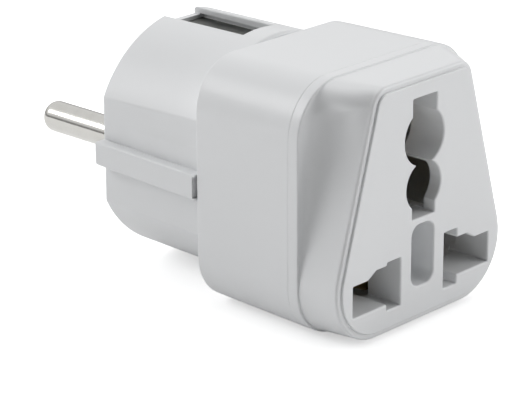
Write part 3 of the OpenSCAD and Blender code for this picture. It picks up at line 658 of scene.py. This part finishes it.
# One ring of the boss between the band and its edge: a cove, then a flank that leans towards the face.
def boss_ring(turn):
    power = 1 - scoop_sharpness
    along, across = math.cos(turn) ** (1 / power), math.sin(turn) ** (1 / power)
    angle = math.atan2(across, along)
    out = 1 - max(math.cos(angle), 0) ** power
    cove = (1 - scoop_lean) * math.sin(angle) ** power + scoop_lean * out
    foot, edge = block_half(foot_inset), face_half(face_margin)
    half = []
    for i, (p, q) in enumerate(zip(foot, edge)):
        drop = min(1, max(0, (valley_top_z - p[1]) / valley_fall_z))
        depth = out ** (valley_top_power + (valley_low_power - valley_top_power) * drop)
        share = scoop_share(i, depth)
        g = share * cove + (1 - share) * depth
        y = rim_y - depth * (rim_y - shelf_y - edge_r)
        half.append((p[0] * (1 - g) + q[0] * g, y, p[1] * (1 - g) + q[1] * g))
    return both_halves(half)


lip_r = 0.18
cover = skin("front_shell", (
    [ring_at(block_half(line_r * (1 - math.sin(t))), parting_y - line_r * (1 - math.cos(t))) for t in edge_turns(3)]
    + [ring_at(block_half(foot_inset * (1 - math.cos(t))), rim_y + foot_inset * (1 - math.sin(t)))
       for t in edge_turns(4)[:-1]]
    + [boss_ring(math.pi / 2 * k / scoop_steps) for k in range(scoop_steps + 1)]
    + [ring_at(face_half(face_margin - edge_r * (1 - math.cos(t))), shelf_y + edge_r * (1 - math.sin(t)))
       for t in edge_turns(5)[1:]]
    + [ring_at(face_half(0), shelf_y)]
    + [ring_at(face_half(-lip_r * (1 - math.cos(t))), face_y + lip_r * (1 - math.sin(t))) for t in edge_turns(4)]))
cut(cover, bar([(x, z) for x, _, z in ring_at(face_half(-boss_wall), 0)], face_y + face_t, parting_y + over))

# Outlines of the openings, measured from the middle: live and neutral, keyhole-shaped earth holes, blind slot.
line_z, open_in, open_out, blade_out = -11.25, 4.8, 14.85, 7.65
open_top, open_bottom, relief_top, relief_out, relief_end = 2.25, 2.45, 3.3, 9.95, 11.7
live_top, live_bottom, neutral_top, neutral_bottom = 3.8, 3.4, 4.75, 3.8
earth_r, earth_z, earth_slot_x, earth_slot_top = 4.2, 9.2, 2.55, 15.2
lower_r, lower_z, foot_x, foot_z = 3.7, 2.0, 2.4, -2.6
blind_x, blind_top, blind_bottom, blind_r = 2.4, -3.6, -12.9, 1.7
rim_r, corner_r, inner_corner_r = 0.28, 0.16, 0.32
hole_steps, blind_steps = 72, 10


def line_outline(side, blade_top, blade_bottom):
    points = [(open_in, -blade_bottom), (blade_out, -blade_bottom), (blade_out, -open_bottom),
              (open_out, -open_bottom), (open_out, open_top), (relief_end, open_top), (relief_out, relief_top),
              (blade_out, relief_top), (blade_out, blade_top), (open_in, blade_top)]
    points = softened([(x, z + line_z) for x, z in points], corner_r, inner_r=inner_corner_r)
    return points if side > 0 else [(-x, z) for x, z in reversed(points)]


# A round hole with a straight slot out of one side of it; of the slot's rounded corners, the outer two are kept.
def keyhole_outline(radius, middle, half_width, slot_end):
    up = 1 if slot_end > middle else -1
    lean = math.acos(half_width / radius)
    turns = [lean - (math.pi + 2 * lean) * i / hole_steps for i in range(hole_steps + 1)]
    arc = [(radius * math.cos(turn), radius * math.sin(turn)) for turn in turns]
    reach = up * (slot_end - middle)
    rounded = softened([arc[-1], (-half_width, reach), (half_width, reach), arc[0]], corner_r)
    ends = rounded[corner_steps + 1:3 * (corner_steps + 1)]
    points = [(x, middle + up * z) for x, z in arc + ends]
    return points[::-1] if up > 0 else points


openings = [line_outline(-1, live_top, live_bottom), line_outline(1, neutral_top, neutral_bottom),
            keyhole_outline(earth_r, earth_z, earth_slot_x, earth_slot_top),
            keyhole_outline(lower_r, lower_z, foot_x, foot_z)]


# The cutter of one opening flares at the face, which leaves the rim rounded.
def rimmed_tool(outline, end_y):
    rings = [[(x, face_y - over, z) for x, z in grown(outline, rim_r)]]
    rings += [[(x, face_y + depth, z) for x, z in grown(outline, growth)]
              for growth, depth in rim_turns(rim_r)[::-1]]
    return skin("opening", rings + [[(x, end_y, z) for x, z in outline]])


def walled(x0, x1, z0, z1):
    return box_outline(x0 - well_wall, x1 + well_wall, z0 - well_wall, z1 + well_wall)


inside = both_halves(face_half(-boss_wall / 2))
for outer in (walled(-open_out, -open_in, line_z - live_bottom, line_z + live_top),
              walled(open_in, open_out, line_z - neutral_bottom, line_z + neutral_top),
              round_outline(earth_r + well_wall, 0, earth_z),
              box_outline(-earth_slot_x - well_wall, earth_slot_x + well_wall, earth_z, earth_slot_top + well_wall),
              walled(-blind_x, blind_x, blind_bottom, blind_top)):
    well = bar(outer, well_y, face_y + face_t / 2)
    combine(well, [bar(inside, well_y + over, face_y)], "INTERSECT")
    weld(cover, well)
for outline in openings:
    cut(cover, rimmed_tool(outline, well_y + over))
blind = softened(box_outline(-blind_x, blind_x, blind_bottom, blind_top), blind_r, blind_steps)
cut(cover, rimmed_tool(blind, face_y + blind_l))
cover_paint = surfaced("front_shell_plastic", moulded_skin, {
    "Colour": shell_white, "Clouds": 0.012, "Gloss": 0.30, "Unevenness": 0.08, "Peel": 0.6}, peel_depth)
finish_mesh(cover, "front_shell", cover_paint)
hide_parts("front_cover")
